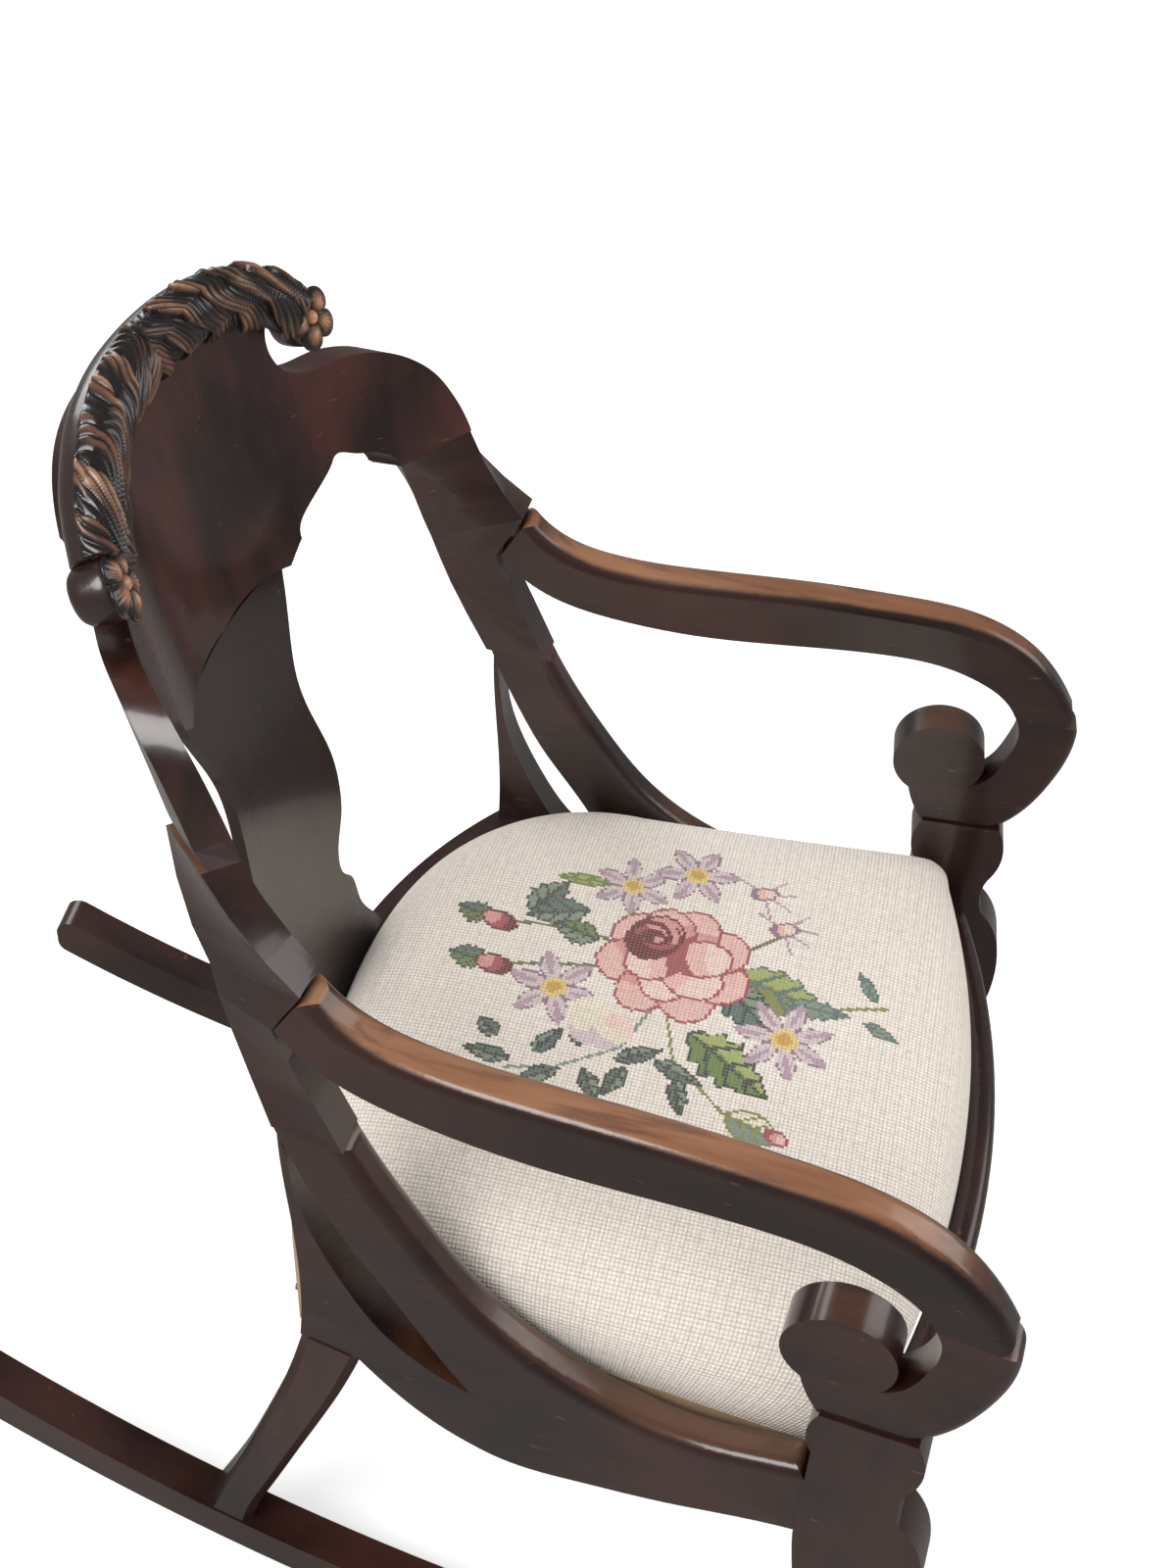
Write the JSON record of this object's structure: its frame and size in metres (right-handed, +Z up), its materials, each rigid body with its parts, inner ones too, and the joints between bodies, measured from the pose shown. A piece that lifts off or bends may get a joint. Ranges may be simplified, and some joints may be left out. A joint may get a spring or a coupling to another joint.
{
  "type": "rocking chair",
  "caption": "Wooden rocking chair on curved runners, with scroll arms, a hooped carved back with a vase splat, and a crowned needlework seat that lifts out.",
  "frame": {"origin": "on the floor, below the middle of the chair's outline", "axes": "+X the way the sitter faces, +Y the sitter's left, +Z up"},
  "size_m": [0.8886, 0.622, 1.001],
  "materials": {
    "polished_mahogany": "old dark reddish-brown shellac, worn lighter along the edges",
    "carved_mahogany": "carved, dark in the hollows and rubbed copper-brown on the high spots",
    "plain_beech": "unfinished beech",
    "needlework": "wool cross stitch on canvas, cream ground with flowers",
    "webbing": "jute webbing",
    "hessian": "hessian",
    "stuffing": "hair and cotton stuffing",
    "dust_cloth": "black cambric",
    "steel_fixings": "dull steel"
  },
  "bodies": {
    "chair_frame": {"arm_dowels": "plain_beech", "back_splat": "polished_mahogany", "block_screws": "steel_fixings", "corner_blocks": "plain_beech", "crest_dowels": "plain_beech", "crest_rail": "polished_mahogany", "crest_roll": "carved_mahogany", "front_seat_rail": "polished_mahogany", "left_arm": "polished_mahogany", "left_arm_scroll": "polished_mahogany", "left_front_post": "polished_mahogany", "left_lower_rail": "polished_mahogany", "left_rear_leg": "polished_mahogany", "left_rosette": "carved_mahogany", "left_runner": "polished_mahogany", "left_stile": "polished_mahogany", "lower_rail_dowels": "plain_beech", "post_dowels": "plain_beech", "rear_seat_rail": "polished_mahogany", "right_arm": "polished_mahogany", "right_arm_scroll": "polished_mahogany", "right_front_post": "polished_mahogany", "right_lower_rail": "polished_mahogany", "right_rear_leg": "polished_mahogany", "right_rosette": "carved_mahogany", "right_runner": "polished_mahogany", "right_stile": "polished_mahogany", "runner_dowels": "plain_beech", "seat_rail_dowels": "plain_beech"},
    "drop_in_seat": {"dust_cover": "dust_cloth", "needlework_cover": "needlework", "seat_frame_front": "plain_beech", "seat_frame_left": "plain_beech", "seat_frame_rear": "plain_beech", "seat_frame_right": "plain_beech", "seat_hessian": "hessian", "seat_stuffing": "stuffing", "seat_tacks": "steel_fixings", "seat_webbing": "webbing"}
  },
  "joints": [
    {"name": "seat_lift", "type": "slide", "parent": "chair_frame", "child": "drop_in_seat", "axis": [0, 0, 1], "range_m": [0, 0.1]}
  ]
}
